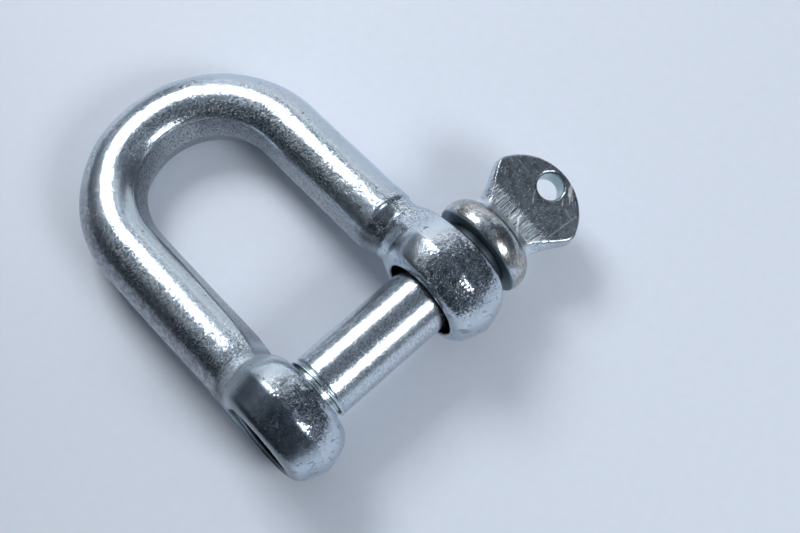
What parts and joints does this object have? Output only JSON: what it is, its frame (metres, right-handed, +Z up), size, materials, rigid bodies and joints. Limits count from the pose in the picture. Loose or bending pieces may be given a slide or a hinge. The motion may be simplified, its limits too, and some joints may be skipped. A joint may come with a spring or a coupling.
{
  "type": "chain joining shackle",
  "caption": "Forged round-bar dee shackle closed by a screw collar pin with a flat holed key, for joining chain, rings or slings.",
  "frame": {"origin": "on the pin axis, halfway across the jaw", "axes": "+X along the pin towards its key, +Y from the pin towards the crown of the bow, +Z up with the shackle lying on its side on both eyes and the crown"},
  "size_m": [0.0905, 0.0977, 0.029],
  "materials": {
    "bow_zinc": "bright zinc plated forging, pitted and peened",
    "pin_zinc": "bright zinc plated forging with a rolled thread"
  },
  "bodies": {
    "bow": {"bow": "bow_zinc"},
    "screw_pin": {"screw_pin": "pin_zinc"}
  },
  "joints": [
    {"name": "pin_withdraw", "type": "slide", "parent": "bow", "child": "screw_pin", "axis": [1, 0, 0], "range_m": [-0.0019, 0.085]}
  ]
}
